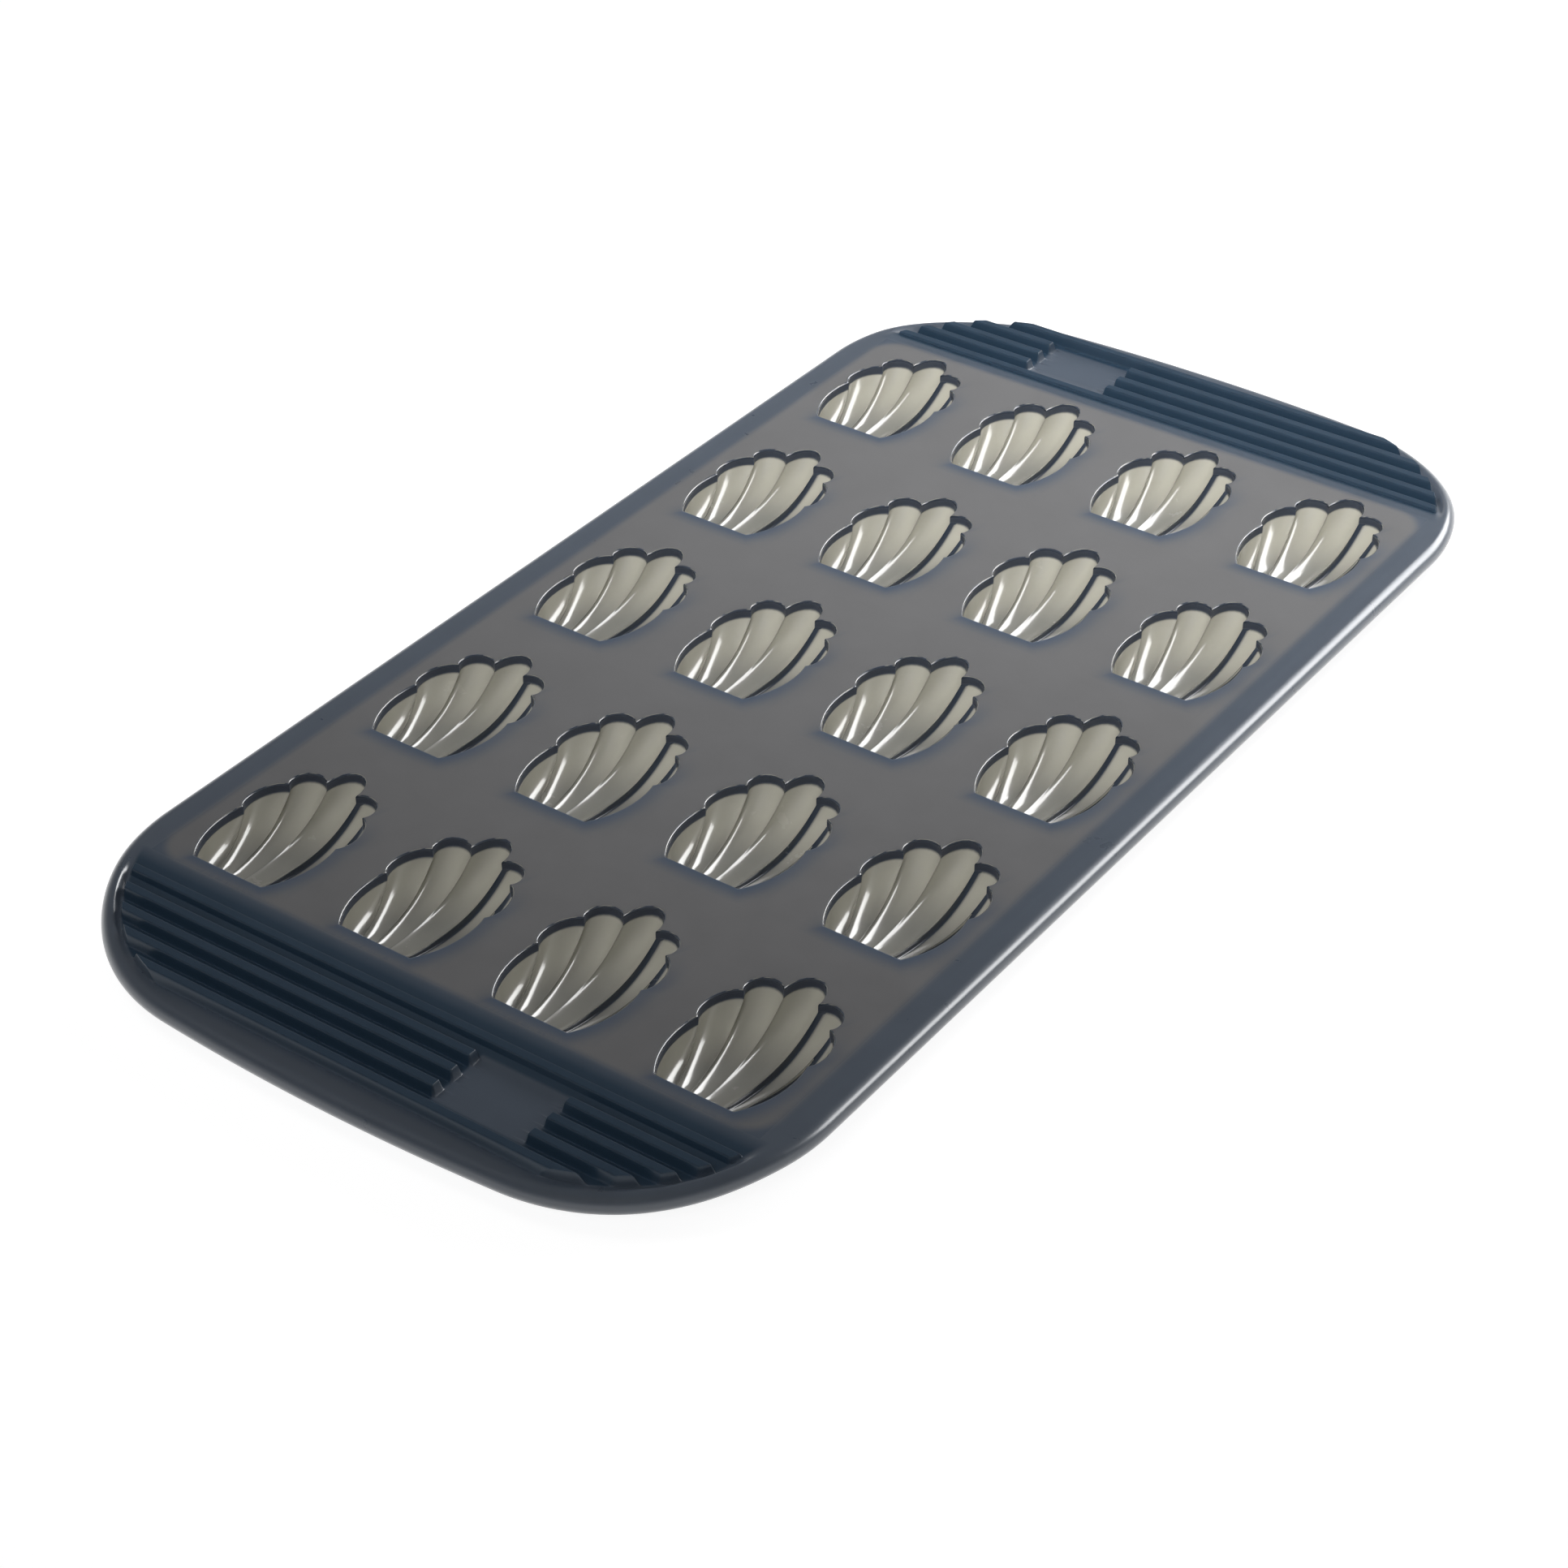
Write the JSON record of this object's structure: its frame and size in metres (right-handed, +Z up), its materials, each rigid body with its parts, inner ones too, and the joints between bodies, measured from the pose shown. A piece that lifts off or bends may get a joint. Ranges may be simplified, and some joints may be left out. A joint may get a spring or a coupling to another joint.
{
  "type": "silicone shell cake mould",
  "caption": "Flexible baking tray with rows of shallow fluted shell-shaped cups in a thin web, a thick rounded rim and a ribbed grip at each end.",
  "frame": {"origin": "middle of the tray in plan, on the plane that the bottoms of the cups stand on", "axes": "+Y along the tray's length, from the near grip to the far grip and the way the shells' rounded ends point; +X across the tray; +Z up, out of the open side of the cups"},
  "size_m": [0.189, 0.3804, 0.0115],
  "materials": {
    "web_silicone": "satin grey, thin sheet of a dark blue-grey silicone",
    "cup_silicone": "glossy pale warm grey, polished cavity side",
    "rail_silicone": "satin dark slate blue, thick rim",
    "grip_silicone": "satin dark navy, thick ribbed grip"
  },
  "bodies": {
    "root": {"web_row_1": "web_silicone", "web_row_2": "web_silicone", "web_row_3": "web_silicone", "web_row_4": "web_silicone", "web_row_5": "web_silicone", "cup_r1_c1": "cup_silicone", "cup_r1_c2": "cup_silicone", "cup_r1_c3": "cup_silicone", "cup_r1_c4": "cup_silicone", "cup_r2_c1": "cup_silicone", "cup_r2_c2": "cup_silicone", "cup_r2_c3": "cup_silicone", "cup_r2_c4": "cup_silicone", "cup_r3_c1": "cup_silicone", "cup_r3_c2": "cup_silicone", "cup_r3_c3": "cup_silicone", "cup_r3_c4": "cup_silicone", "cup_r4_c1": "cup_silicone", "cup_r4_c2": "cup_silicone", "cup_r4_c3": "cup_silicone", "cup_r4_c4": "cup_silicone", "cup_r5_c1": "cup_silicone", "cup_r5_c2": "cup_silicone", "cup_r5_c3": "cup_silicone", "cup_r5_c4": "cup_silicone", "rail_left": "rail_silicone", "rail_right": "rail_silicone", "grip_near": "grip_silicone", "grip_far": "grip_silicone"}
  },
  "joints": []
}
